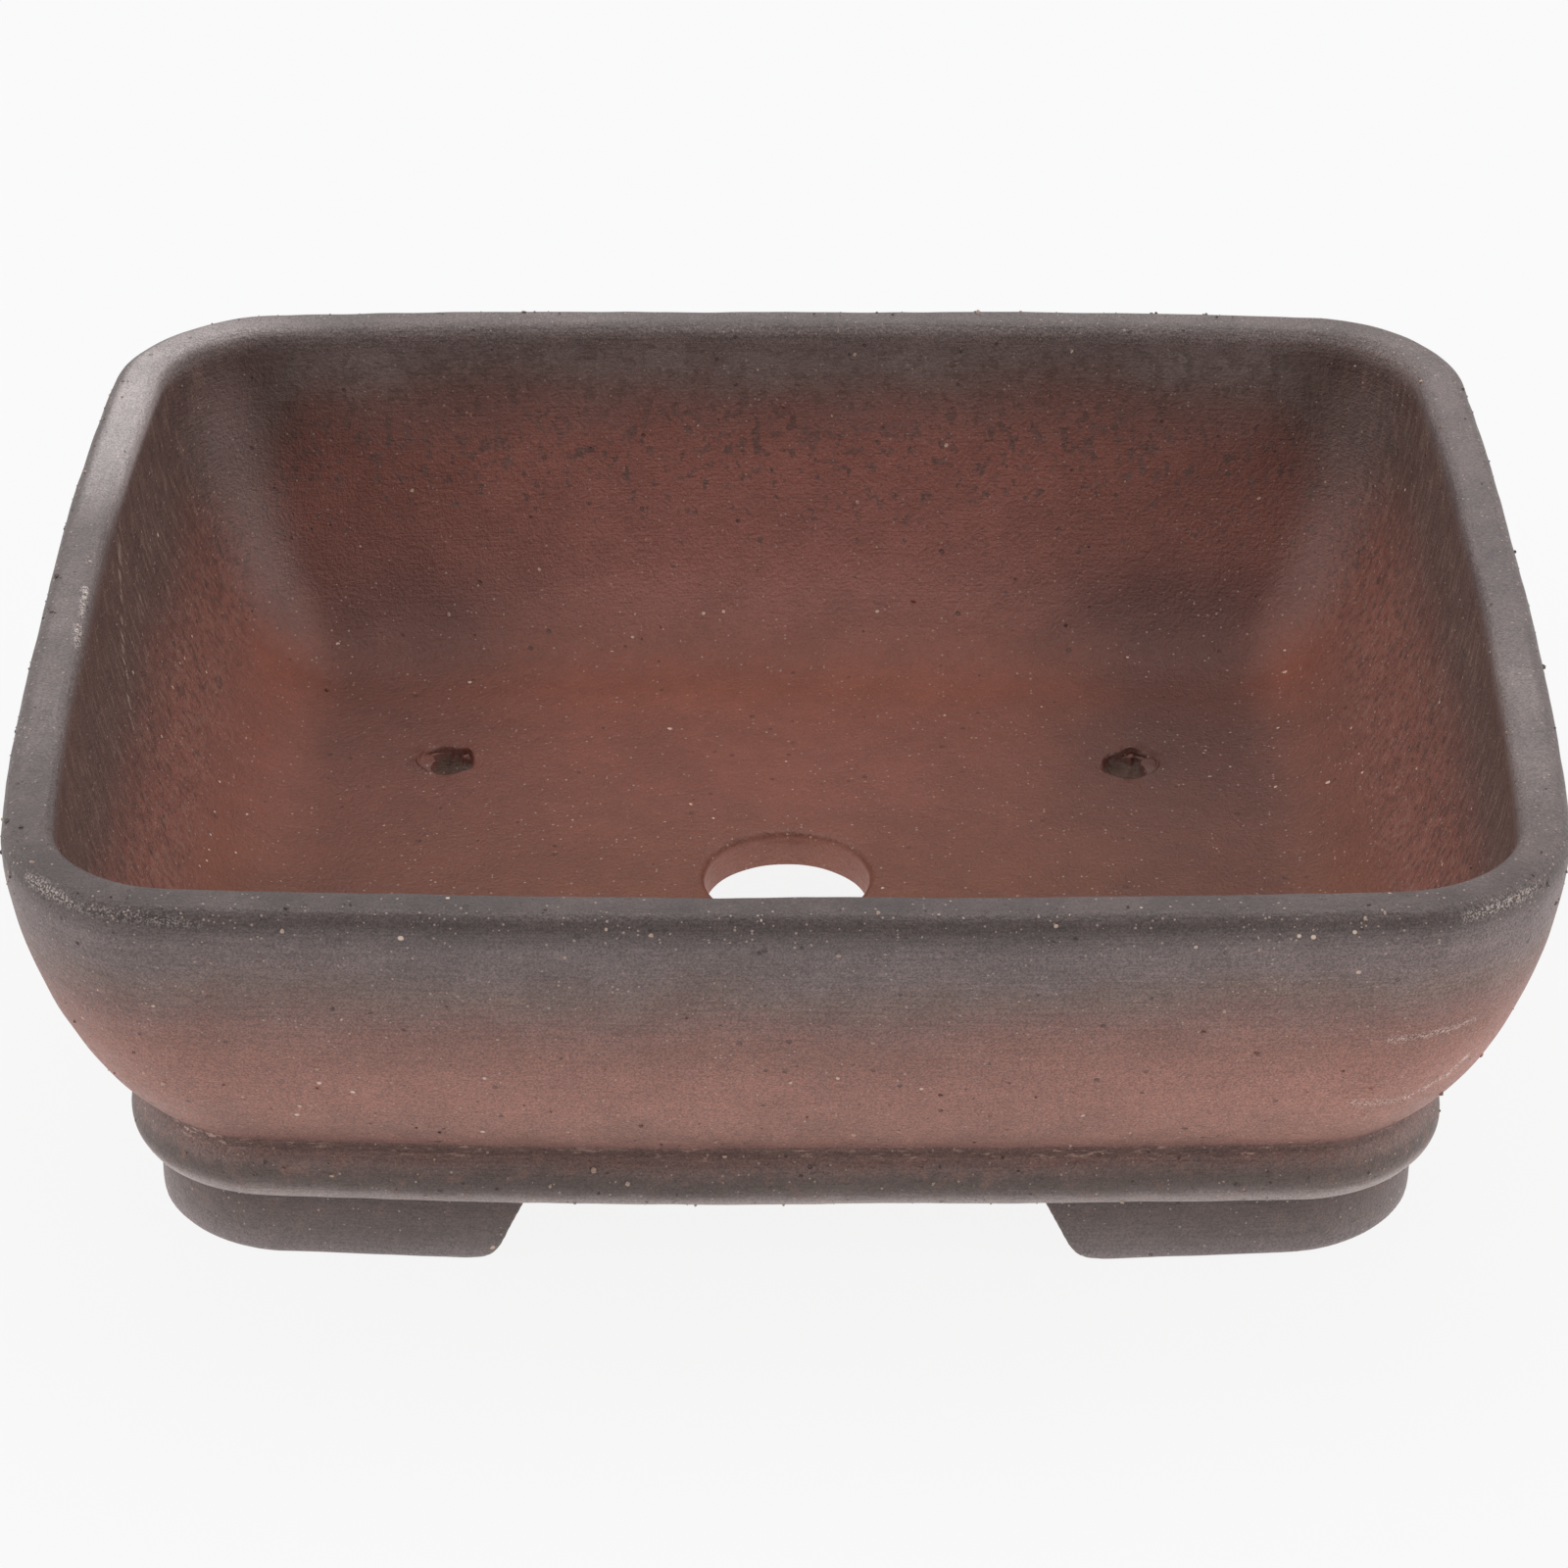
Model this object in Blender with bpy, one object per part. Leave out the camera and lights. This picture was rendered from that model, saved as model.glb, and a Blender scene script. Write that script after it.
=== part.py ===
"""Unglazed rectangular bonsai pot, as the clay pieces that the maker joins with slip before firing.

A wall with a thick lip stands on the edge of a floor slab. A half-round band wraps the joint between
them, and four corner feet carry the floor. A thin slip joint separates each piece from its neighbours.

+X runs along the pot's length, -Y is its front, and +Z is up. The origin is on the table, under the middle.
"""

import math

import bmesh
import bpy

# Driving dimensions, in metres. An inset is measured inwards from the outer edge of the rim.
LENGTH = 0.1806
WIDTH = 0.1558
HEIGHT = 0.0555
SIDE_BOW = 0.003  # how far each side swells beyond a straight line between its corners
RIM_CORNER_RADIUS = 0.0182
CORNER_TIGHTENING = 0.4  # how much the corners sharpen for each unit that the wall leans in

WALL_THICKNESS = 0.0058
WALL_LEAN = 0.0112
WALL_LEAN_POWER = 1.75
WALL_TUCK = 0.0023  # extra turn inwards just above the band
WALL_TUCK_POWER = 7
LIP_OUTER_ROUND = 0.0020
LIP_INNER_ROUND = 0.0009
COVE_RADIUS = 0.0085
COVE_EDGE = 0.0008

FOOT_HEIGHT = 0.0085
FOOT_THICKNESS = 0.0090
FOOT_INSET = 0.0132
FOOT_SIDE_TUCK = 0.0012  # further in at the pot's two ends than along its front and back
FOOT_CORNER_RADIUS = 0.0138
FOOT_EDGE_ROUND = 0.0013
FOOT_END_SLANT = 0.0030
FOOT_END_ROUND = 0.0032
FRONT_GAP_HALF = 0.0301
SIDE_GAP_HALF = 0.0260

FLOOR_THICKNESS = 0.0048
DRAIN_DIAMETER = 0.0206
WIRE_HOLE_DIAMETER = 0.0068
WIRE_HOLE_X = 0.0445
WIRE_HOLE_Y = 0.0278

BAND_HEIGHT = 0.0069
BAND_ROOT_INSET = 0.0134
BAND_BULGE = 0.0018
BAND_SEAT_DEPTH = 0.0022

SLIP_JOINT = 0.0003
CUTTER_SPARE = 0.004

# Heights and insets that follow from them.
FLOOR_BOTTOM = FOOT_HEIGHT + SLIP_JOINT
FLOOR_TOP = FLOOR_BOTTOM + FLOOR_THICKNESS
WALL_BOTTOM = FLOOR_TOP + SLIP_JOINT
BAND_BOTTOM = FLOOR_BOTTOM
BAND_TOP = BAND_BOTTOM + BAND_HEIGHT
WALL_BASE = BAND_TOP + SLIP_JOINT
SEAT_INSET = BAND_ROOT_INSET + BAND_SEAT_DEPTH

# Smoothness.
CORNER_STEPS = 8
SIDE_STEPS = 6
WALL_STEPS = 9
ROUND_STEPS = 4
HOLE_SIDES = 40
WIRE_HOLE_SIDES = 20

# Fired clay: dark where the kiln smoked it, red-brown elsewhere.
SMOKED_CLAY = (0.105, 0.085, 0.080, 1.0)
RED_CLAY = (0.215, 0.095, 0.070, 1.0)
CLAY_ROUGHNESS = 0.6


def clear_scene():
    for obj in list(bpy.data.objects):
        bpy.data.objects.remove(obj, do_unlink=True)


def make_collection(name):
    collection = bpy.data.collections.new(name)
    bpy.context.scene.collection.children.link(collection)
    return collection


def clay(name, colour):
    """A matt fired-clay material."""
    material = bpy.data.materials.new(name)
    material.use_nodes = True
    shader = material.node_tree.nodes["Principled BSDF"]
    shader.inputs["Base Color"].default_value = colour
    shader.inputs["Roughness"].default_value = CLAY_ROUGHNESS
    shader.inputs["Metallic"].default_value = 0.0
    return material


def lean(z):
    """How far the wall's outer face has come in from the rim's edge at height z."""
    rise = (z - WALL_BASE) / (HEIGHT - LIP_OUTER_ROUND - WALL_BASE)
    below = 1 - min(max(rise, 0.0), 1.0)
    return WALL_LEAN * below**WALL_LEAN_POWER + WALL_TUCK * below**WALL_TUCK_POWER


def corner_radius(inset, z):
    """The plan radius of the corners on a face at this inset and height."""
    outer = lean(z)
    return RIM_CORNER_RADIUS - CORNER_TIGHTENING * outer - (inset - outer)


def outline(inset, z, tuck=0.0, softening=0.0):
    """The pot's plan at this inset and height: a rectangle with round corners and bowed sides.

    tuck brings the two short sides further in, and softening widens the corners."""
    half_x = LENGTH / 2 - SIDE_BOW - inset - tuck
    half_y = WIDTH / 2 - SIDE_BOW - inset
    radius = corner_radius(inset, z) + softening
    points = []
    for quarter in range(4):
        start = quarter * math.pi / 2
        # The corners in turn are +X +Y, -X +Y, -X -Y and +X -Y.
        centre_x = (half_x - radius) * (1 if quarter in (0, 3) else -1)
        centre_y = (half_y - radius) * (1 if quarter in (0, 1) else -1)
        for step in range(CORNER_STEPS + 1):
            angle = start + math.pi / 2 * step / CORNER_STEPS
            points.append((centre_x + radius * math.cos(angle), centre_y + radius * math.sin(angle)))
        # Points along the straight side that follows, for the bow to bend.
        end_x, end_y = points[-1]
        along_x = -2 * centre_x if quarter in (0, 2) else 0.0
        along_y = -2 * centre_y if quarter in (1, 3) else 0.0
        for step in range(1, SIDE_STEPS):
            share = step / SIDE_STEPS
            points.append((end_x + along_x * share, end_y + along_y * share))
    return [
        (
            x + SIDE_BOW * (x / half_x) * (1 - (y / half_y) ** 2),
            y + SIDE_BOW * (y / half_y) * (1 - (x / half_x) ** 2),
        )
        for x, y in points
    ]


def finish_mesh(bm, name):
    bmesh.ops.recalc_face_normals(bm, faces=bm.faces[:])
    mesh = bpy.data.meshes.new(name)
    bm.to_mesh(mesh)
    bm.free()
    mesh.shade_smooth()
    mesh.set_sharp_from_angle(angle=math.radians(35))
    return mesh


def ring_mesh(name, profile, tuck=0.0, softening=0.0):
    """A closed profile of (inset, z) points lofted round the pot's outline."""
    bm = bmesh.new()
    loops = []
    for inset, z in profile:
        loops.append([bm.verts.new((x, y, z)) for x, y in outline(inset, z, tuck, softening)])
    for loop, following in zip(loops, loops[1:] + loops[:1]):
        for index, vert in enumerate(loop):
            bm.faces.new((loop[index - 1], vert, following[index], following[index - 1]))
    return finish_mesh(bm, name)


def add_part(name, mesh, material, collection):
    part = bpy.data.objects.new(name, mesh)
    collection.objects.link(part)
    part.data.materials.clear()
    part.data.materials.append(material)
    return part


def as_helper(obj, collection):
    """Marks an object as a cutter, which is no piece of the pot."""
    for other in obj.users_collection:
        other.objects.unlink(obj)
    collection.objects.link(obj)
    obj.hide_render = True
    obj.display_type = "WIRE"
    return obj


def boolean(obj, cutter, operation):
    modifier = obj.modifiers.new(f"{operation.title()} {cutter.name}", "BOOLEAN")
    modifier.operation = operation
    modifier.object = cutter


def slab_mesh(name, corners, thickness):
    """A flat outline of (x, y) corners, given this thickness about its own plane."""
    curve = bpy.data.curves.new(name, "CURVE")
    curve.dimensions = "2D"
    curve.fill_mode = "BOTH"
    curve.extrude = thickness / 2
    spline = curve.splines.new("POLY")
    spline.points.add(len(corners) - 1)
    for point, (x, y) in zip(spline.points, corners):
        point.co = (x, y, 0.0, 1.0)
    spline.use_cyclic_u = True
    holder = bpy.data.objects.new(name, curve)
    bpy.context.scene.collection.objects.link(holder)
    graph = bpy.context.evaluated_depsgraph_get()
    bm = bmesh.new()
    bm.from_mesh(bpy.data.meshes.new_from_object(holder.evaluated_get(graph)))
    bmesh.ops.remove_doubles(bm, verts=bm.verts[:], dist=1e-6)
    bpy.data.objects.remove(holder, do_unlink=True)
    return finish_mesh(bm, name)


def drill(name, diameter, sides, x, y, cutters):
    """A round cutter through the floor at (x, y)."""
    bpy.ops.mesh.primitive_cylinder_add(
        vertices=sides,
        radius=diameter / 2,
        depth=FLOOR_THICKNESS + 2 * CUTTER_SPARE,
        location=(x, y, (FLOOR_BOTTOM + FLOOR_TOP) / 2),
    )
    cutter = bpy.context.active_object
    cutter.name = name
    return as_helper(cutter, cutters)


def arc(centre_inset, centre_z, radius, start, end, steps):
    """Profile points round an arc, from start to end degrees, where 0 points towards larger insets."""
    points = []
    for step in range(steps + 1):
        angle = math.radians(start + (end - start) * step / steps)
        points.append((centre_inset + radius * math.cos(angle), centre_z + radius * math.sin(angle)))
    return points


def wall_profile():
    """Up the outer face, over the lip, down the inner face, round the cove and back along the joint."""
    outer_top = HEIGHT - LIP_OUTER_ROUND
    inner_top = HEIGHT - LIP_INNER_ROUND
    outer = []
    for step in range(WALL_STEPS):
        # The outer face curves most at its foot, so the points are closest there.
        z = WALL_BASE + (outer_top - WALL_BASE) * (step / WALL_STEPS) ** 1.3
        outer.append((lean(z), z))
    lip = arc(LIP_OUTER_ROUND, outer_top, LIP_OUTER_ROUND, 180, 90, ROUND_STEPS)
    lip += arc(WALL_THICKNESS - LIP_INNER_ROUND, inner_top, LIP_INNER_ROUND, 90, 0, ROUND_STEPS)

    cove_top = FLOOR_TOP + COVE_RADIUS
    inner = []
    for step in range(1, WALL_STEPS):
        z = inner_top + (cove_top - inner_top) * step / WALL_STEPS
        inner.append((lean(z) + WALL_THICKNESS, z))
    cove_centre = lean(cove_top) + WALL_THICKNESS + COVE_RADIUS
    lowest = math.degrees(math.asin((COVE_RADIUS - COVE_EDGE) / COVE_RADIUS))
    cove = arc(cove_centre, cove_top, COVE_RADIUS, 180, 180 + lowest, 2 * ROUND_STEPS)
    joint = [(cove[-1][0], WALL_BOTTOM), (SEAT_INSET, WALL_BOTTOM), (SEAT_INSET, WALL_BASE)]
    return outer + lip + inner + cove + joint


def band_profile():
    """A half-round moulding on a flat back, which sits in the seat below the wall."""
    middle = (BAND_BOTTOM + BAND_TOP) / 2
    back = SEAT_INSET - SLIP_JOINT
    points = [(back, BAND_TOP), (back, BAND_BOTTOM)]
    steps = 2 * ROUND_STEPS
    for step in range(steps + 1):
        angle = math.pi * (step / steps - 0.5)
        inset = BAND_ROOT_INSET - BAND_BULGE * math.cos(angle)
        points.append((inset, middle + BAND_HEIGHT / 2 * math.sin(angle)))
    return points


def foot_profile():
    """An upright strip under the floor's edge, with its outer lower edge rounded."""
    inner = FOOT_INSET + FOOT_THICKNESS
    centre = FOOT_INSET + FOOT_EDGE_ROUND
    points = [(inner, FOOT_HEIGHT), (inner, 0.0)]
    return points + arc(centre, FOOT_EDGE_ROUND, FOOT_EDGE_ROUND, 270, 180, ROUND_STEPS) + [
        (FOOT_INSET, FOOT_HEIGHT)
    ]


def foot_gap(name, half_width, turn, cutters):
    """A cutter for the gaps between the feet, right across the pot, wider at the table than at the floor."""
    top = FOOT_HEIGHT + CUTTER_SPARE
    foot = half_width + FOOT_END_SLANT
    side = [(half_width, top), (half_width, FOOT_HEIGHT)]
    side += arc(foot + FOOT_END_ROUND, FOOT_END_ROUND, FOOT_END_ROUND, 180, 270, ROUND_STEPS)
    side.append((foot + FOOT_END_ROUND, -CUTTER_SPARE))
    corners = side + [(-x, z) for x, z in reversed(side)]
    cutter = bpy.data.objects.new(name, slab_mesh(name, corners, LENGTH + 2 * CUTTER_SPARE))
    cutter.rotation_euler = (math.pi / 2, 0.0, turn)
    bpy.context.scene.collection.objects.link(cutter)
    return as_helper(cutter, cutters)


def quarter_block(name, sign_x, sign_y, cutters):
    """A block over one quarter of the plan, which picks one foot out of four."""
    bpy.ops.mesh.primitive_cube_add(size=1, location=(sign_x * LENGTH / 2, sign_y * LENGTH / 2, 0.0))
    block = bpy.context.active_object
    block.name = name
    block.scale = (LENGTH - CUTTER_SPARE, LENGTH - CUTTER_SPARE, HEIGHT)
    return as_helper(block, cutters)


def build_wall(parts):
    mesh = ring_mesh("wall", wall_profile())
    return add_part("wall", mesh, clay("wall_clay", RED_CLAY), parts)


def build_floor(parts, cutters):
    mesh = slab_mesh("floor_slab", outline(SEAT_INSET, FLOOR_TOP), FLOOR_THICKNESS)
    floor = add_part("floor_slab", mesh, clay("floor_clay", RED_CLAY), parts)
    floor.location.z = (FLOOR_BOTTOM + FLOOR_TOP) / 2
    boolean(floor, drill("drain_cutter", DRAIN_DIAMETER, HOLE_SIDES, 0.0, 0.0, cutters), "DIFFERENCE")
    for side, sign_x in (("left", -1), ("right", 1)):
        for end, sign_y in (("front", -1), ("back", 1)):
            cutter = drill(
                f"wire_cutter_{end}_{side}",
                WIRE_HOLE_DIAMETER,
                WIRE_HOLE_SIDES,
                sign_x * WIRE_HOLE_X,
                sign_y * WIRE_HOLE_Y,
                cutters,
            )
            boolean(floor, cutter, "DIFFERENCE")
    return floor


def build_band(parts):
    mesh = ring_mesh("foot_band", band_profile())
    return add_part("foot_band", mesh, clay("band_clay", SMOKED_CLAY), parts)


def build_feet(parts, cutters):
    """One strip round the whole pot, with its middle stretches cut away and one corner kept for each foot."""
    softening = FOOT_CORNER_RADIUS - corner_radius(FOOT_INSET, FOOT_HEIGHT)
    strip = ring_mesh("foot_strip", foot_profile(), FOOT_SIDE_TUCK, softening)
    material = clay("foot_clay", SMOKED_CLAY)
    front_gap = foot_gap("front_gap_cutter", FRONT_GAP_HALF, 0.0, cutters)
    side_gap = foot_gap("side_gap_cutter", SIDE_GAP_HALF, math.pi / 2, cutters)
    feet = []
    for side, sign_x in (("left", -1), ("right", 1)):
        for end, sign_y in (("front", -1), ("back", 1)):
            foot = add_part(f"foot_{end}_{side}", strip, material, parts)
            boolean(foot, front_gap, "DIFFERENCE")
            boolean(foot, side_gap, "DIFFERENCE")
            boolean(foot, quarter_block(f"quarter_{end}_{side}", sign_x, sign_y, cutters), "INTERSECT")
            feet.append(foot)
    return feet


def main():
    clear_scene()
    parts = make_collection("bonsai_pot")
    cutters = make_collection("cutters")
    build_wall(parts)
    build_floor(parts, cutters)
    build_band(parts)
    build_feet(parts, cutters)


main()
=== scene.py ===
"""An unglazed rectangular bonsai pot on a plain pale floor.

Each packed clay piece gets a finely modelled stand-in with the same plan and height, so the lip, the cove and
the foot band are softly rounded, slightly uneven and gritty, as hand-pressed stoneware is. Lengths are in metres.
"""

import math

import bmesh
import bpy
import numpy as np
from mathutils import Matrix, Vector, noise
from mathutils.geometry import delaunay_2d_cdt


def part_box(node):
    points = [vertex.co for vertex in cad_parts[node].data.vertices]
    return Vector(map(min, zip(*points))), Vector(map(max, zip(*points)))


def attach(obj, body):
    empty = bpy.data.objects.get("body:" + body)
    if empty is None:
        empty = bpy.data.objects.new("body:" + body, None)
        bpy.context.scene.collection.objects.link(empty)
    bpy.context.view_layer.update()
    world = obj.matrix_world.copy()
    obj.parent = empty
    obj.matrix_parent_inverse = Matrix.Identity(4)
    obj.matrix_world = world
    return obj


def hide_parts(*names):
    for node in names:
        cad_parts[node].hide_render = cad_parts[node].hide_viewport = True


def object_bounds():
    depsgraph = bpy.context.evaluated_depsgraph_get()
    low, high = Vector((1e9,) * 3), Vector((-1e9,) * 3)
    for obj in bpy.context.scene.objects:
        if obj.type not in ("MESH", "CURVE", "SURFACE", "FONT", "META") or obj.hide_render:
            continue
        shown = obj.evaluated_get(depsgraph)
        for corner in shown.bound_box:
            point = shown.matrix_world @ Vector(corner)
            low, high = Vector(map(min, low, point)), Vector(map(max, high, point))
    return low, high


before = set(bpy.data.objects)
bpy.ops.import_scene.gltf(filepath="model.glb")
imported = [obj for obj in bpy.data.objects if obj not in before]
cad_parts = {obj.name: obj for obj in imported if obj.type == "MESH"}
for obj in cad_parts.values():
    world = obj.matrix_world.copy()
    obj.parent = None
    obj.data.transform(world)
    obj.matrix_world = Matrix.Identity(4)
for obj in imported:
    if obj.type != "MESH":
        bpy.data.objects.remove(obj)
cad_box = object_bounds()

MM = 0.001

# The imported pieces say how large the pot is.
ROOM_LOW, ROOM_HIGH = (Vector(c) for c in cad_box)
HALF_X = (ROOM_HIGH.x - ROOM_LOW.x) / 2
HALF_Y = (ROOM_HIGH.y - ROOM_LOW.y) / 2
TOP = ROOM_HIGH.z
FLOOR_LOW, FLOOR_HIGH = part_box("floor_slab")
BAND_LOW, BAND_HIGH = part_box("foot_band")
WALL_LOW, WALL_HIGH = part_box("wall")
FOOT_LOW, FOOT_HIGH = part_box("foot_front_right")

# The shape of the plan and of the wall's section.
SIDE_BOW = 3.0 * MM
RIM_CORNER = 18.2 * MM
CORNER_TIGHTENING = 0.4
WALL_THICKNESS = 5.8 * MM
LEAN = 11.2 * MM
LEAN_POWER = 1.75
TUCK = 2.3 * MM
TUCK_POWER = 7
LIP_OUTER_ROUND = 2.0 * MM
LIP_INNER_ROUND = 1.7 * MM
COVE = 9.0 * MM
SEAM_DEPTH = 0.5 * MM

BAND_ROOT = 13.3 * MM
BAND_BULGE = 2.1 * MM
FOOT_INSET = 13.2 * MM
FOOT_SIDE_TUCK = 1.2 * MM
FOOT_CORNER = 13.8 * MM
FOOT_THICKNESS = 9.0 * MM
FOOT_EDGE = 1.1 * MM
FOOT_END_SLANT = 2.6 * MM
FOOT_END_ROUND = 4.0 * MM

DRAIN_RADIUS = 10.3 * MM
WIRE_RADIUS = 3.4 * MM
WIRE_X = 44.5 * MM
WIRE_Y = 27.8 * MM

BASE_Z = BAND_HIGH.z + 0.3 * MM


def lean(z):
    """How far the wall's outer face has come in from the rim's edge at height z."""
    rise = np.clip((z - BASE_Z) / (TOP - LIP_OUTER_ROUND - BASE_Z), 0.0, 1.0)
    return LEAN * (1 - rise) ** LEAN_POWER + TUCK * (1 - rise) ** TUCK_POWER


# One turn round the pot: how far along its corner or side each point is.
CORNER_POINTS = 36
LONG_POINTS = 140
SHORT_POINTS = 112


def outline(inset, z, tuck=0.0, softening=0.0):
    """The pot's plan at this inset and height, as an array of (x, y): a rounded rectangle with bowed sides."""
    half_x = HALF_X - SIDE_BOW - inset - tuck
    half_y = HALF_Y - SIDE_BOW - inset
    outer = float(lean(z))
    radius = max(RIM_CORNER - CORNER_TIGHTENING * outer - (inset - outer) + softening, 0.6 * MM)
    points = []
    for quarter in range(4):
        centre_x = (half_x - radius) * (1 if quarter in (0, 3) else -1)
        centre_y = (half_y - radius) * (1 if quarter in (0, 1) else -1)
        angle = quarter * math.pi / 2 + np.linspace(0, math.pi / 2, CORNER_POINTS + 1)
        arc = np.stack([centre_x + radius * np.cos(angle), centre_y + radius * np.sin(angle)], axis=1)
        count = LONG_POINTS if quarter in (0, 2) else SHORT_POINTS
        reach = np.array([-2 * centre_x, 0.0]) if quarter in (0, 2) else np.array([0.0, -2 * centre_y])
        side = arc[-1] + np.linspace(0, 1, count + 2)[1:-1, None] * reach
        points += [arc, side]
    points = np.concatenate(points)
    x, y = points[:, 0].copy(), points[:, 1].copy()
    points[:, 0] += SIDE_BOW * (x / half_x) * (1 - (y / half_y) ** 2)
    points[:, 1] += SIDE_BOW * (y / half_y) * (1 - (x / half_x) ** 2)
    # The maker drew the front corners in a touch.
    drawn = np.clip((-y - 40 * MM) / (34 * MM), 0, 1) ** 2 * min(1.0, max(0.0, (z - 14 * MM) / (14 * MM)))
    points[:, 0] *= 1 - 0.012 * drawn
    return points


def arc(centre, radius, start, end, steps):
    """Section points round an arc, from start to end degrees, where 0 points towards larger insets."""
    angles = np.radians(np.linspace(start, end, steps + 1))
    return [(centre[0] + radius * math.cos(a), centre[1] + radius * math.sin(a)) for a in angles]


def even(points, step):
    """The same line, with points about this far apart."""
    line = np.array(points)
    gaps = np.linalg.norm(np.diff(line, axis=0), axis=1)
    along = np.concatenate([[0], np.cumsum(gaps)])
    count = max(2, int(round(along[-1] / step)))
    wanted = np.linspace(0, along[-1], count + 1)
    return [(np.interp(w, along, line[:, 0]), np.interp(w, along, line[:, 1])) for w in wanted]


def ring(sections, tuck=0.0, softening=0.0):
    """Vertices and quads of a closed section carried round the pot."""
    loops = []
    for inset, z in sections:
        plan = outline(inset, z, tuck, softening)
        loops.append(np.column_stack([plan, np.full(len(plan), z)]))
    count = len(loops[0])
    verts = np.concatenate(loops)
    here = np.arange(count)
    onward = (here + 1) % count
    faces = []
    for row in range(len(loops)):
        low, high = row * count, (row + 1) % len(loops) * count
        faces.append(np.stack([low + here, low + onward, high + onward, high + here], axis=1))
    return verts, np.concatenate(faces)


def make_piece(name, verts, faces, node, material, attributes=None):
    """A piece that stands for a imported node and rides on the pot."""
    mesh = bpy.data.meshes.new(name)
    mesh.from_pydata([tuple(v) for v in verts], [], [tuple(int(i) for i in f) for f in faces])
    for key, values in (attributes or {}).items():
        layer = mesh.attributes.new(key, "FLOAT", "POINT")
        layer.data.foreach_set("value", np.asarray(values, np.float32))
    bm = bmesh.new()
    bm.from_mesh(mesh)
    bmesh.ops.recalc_face_normals(bm, faces=bm.faces[:])
    bm.to_mesh(mesh)
    bm.free()
    mesh.shade_smooth()
    mesh.set_sharp_from_angle(angle=math.radians(40))
    mesh.materials.append(material)
    obj = bpy.data.objects.new(name, mesh)
    bpy.context.scene.collection.objects.link(obj)
    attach(obj, "root")
    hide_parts(node)
    return obj


def press(verts, broad=0.35, middle=0.14, fine=0.07):
    """Moves every vertex by the slight waviness of hand-pressed clay, and keeps the feet on the table."""
    moved = []
    for v in verts:
        point = Vector(v)
        offset = noise.noise_vector(point * 16.0) * broad * MM
        offset += noise.noise_vector(point * 55.0 + Vector((2.3, 8.1, 4.4))) * middle * MM
        offset += noise.noise_vector(point * 230.0 + Vector((7.1, 3.3, 9.7))) * fine * MM
        offset.z *= min(1.0, max(0.0, point.z / (6 * MM)))
        moved.append(point + offset)
    return moved


def gritty(verts, faces, values, count, weight, seed, sizes=(0.10, 0.34)):
    """The same shape with coarse grains half sunk in its surface. weight says where they are likely to lie.

    values holds the piece's mesh attributes, and gains one called grit: 1 on pale grains and -1 on dark ones."""
    rng = np.random.default_rng(seed)
    verts = np.asarray([tuple(v) for v in verts])
    quads = np.asarray(faces)
    corners = verts[quads]
    area = np.linalg.norm(np.cross(corners[:, 2] - corners[:, 0], corners[:, 3] - corners[:, 1]), axis=1)
    chance = area * weight(corners.mean(axis=1), quads)
    chosen = rng.choice(len(quads), count, p=chance / chance.sum())
    ball = bmesh.new()
    bmesh.ops.create_icosphere(ball, subdivisions=1, radius=1.0)
    shape = np.array([v.co[:] for v in ball.verts])
    sides = np.array([[v.index for v in f.verts] for f in ball.faces])
    ball.free()
    new_verts, new_faces = [verts], [tuple(f) for f in quads.tolist()]
    grit = [np.zeros(len(verts))]
    total = len(verts)
    for face in chosen:
        a, b = rng.random(2)
        four = corners[face]
        spot = (four[0] * (1 - a) + four[1] * a) * (1 - b) + (four[3] * (1 - a) + four[2] * a) * b
        size = (sizes[0] + (sizes[1] - sizes[0]) * rng.random() ** 3) * MM
        lump = shape * rng.uniform(0.75, 1.2, (len(shape), 1)) * rng.uniform(0.7, 1.3, 3) * size
        new_verts.append(lump + spot)
        new_faces += [tuple(f) for f in (sides + total).tolist()]
        kind = rng.random()
        grit.append(np.full(len(shape), 1.0 if kind < 0.34 else (-1.0 if kind < 0.5 else 0.0)))
        total += len(shape)
    spread = {}
    for key, numbers in values.items():
        numbers = np.asarray(numbers)
        extra = np.repeat(numbers[quads[chosen][:, 0]], len(shape))
        spread[key] = np.concatenate([numbers, extra])
    spread["grit"] = np.concatenate(grit)
    return np.concatenate(new_verts), new_faces, spread


# ---------------------------------------------------------------- materials


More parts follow.
